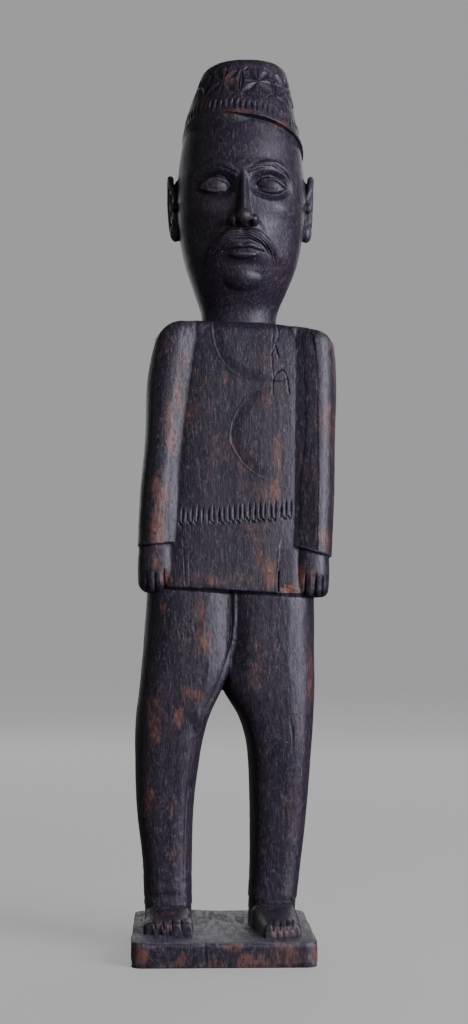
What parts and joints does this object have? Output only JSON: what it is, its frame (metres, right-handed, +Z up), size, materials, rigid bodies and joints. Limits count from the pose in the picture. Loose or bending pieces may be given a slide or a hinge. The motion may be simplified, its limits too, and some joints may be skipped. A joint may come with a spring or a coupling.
{
  "type": "ancestor figure",
  "caption": "Carved wooden ancestor figure of a standing man in a cap, tunic and trousers, in one piece with a low rectangular plinth.",
  "frame": {"origin": "centre of the plinth's underside, which the figure stands on", "axes": "+Z up along the figure, -Y the way the face looks, +X to the right of a person looking at the face"},
  "size_m": [0.1254, 0.125, 0.551],
  "materials": {
    "wood": "semi-gloss dark patina with worn reddish-brown patches"
  },
  "bodies": {
    "root": {"ancestor_figure": "wood"}
  },
  "joints": []
}
